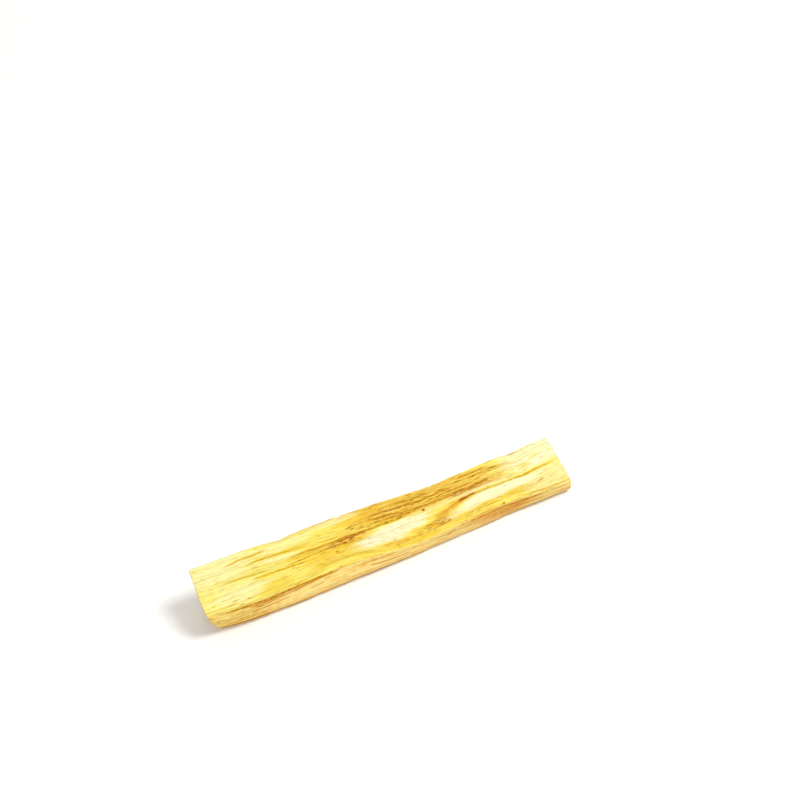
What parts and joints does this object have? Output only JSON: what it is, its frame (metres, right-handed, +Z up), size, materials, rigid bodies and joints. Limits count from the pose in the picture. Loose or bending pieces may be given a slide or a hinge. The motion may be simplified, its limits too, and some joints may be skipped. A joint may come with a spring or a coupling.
{
  "type": "palo santo stick",
  "caption": "Split stick of aromatic wood with wavy riven faces and sawn ends, burned or held as incense, or heaped with others.",
  "frame": {"origin": "middle of the stick's bounding box in plan, on the plane of the flat underside", "axes": "+X along the grain, towards the end that is sawn square; +Y towards the tall back arris; +Z up, away from the flat underside"},
  "size_m": [0.1018, 0.0148, 0.0109],
  "materials": {
    "palo_santo_wood": "dry split wood, matt, with fine darker grain"
  },
  "bodies": {
    "root": {"palo_santo_stick": "palo_santo_wood"}
  },
  "joints": []
}
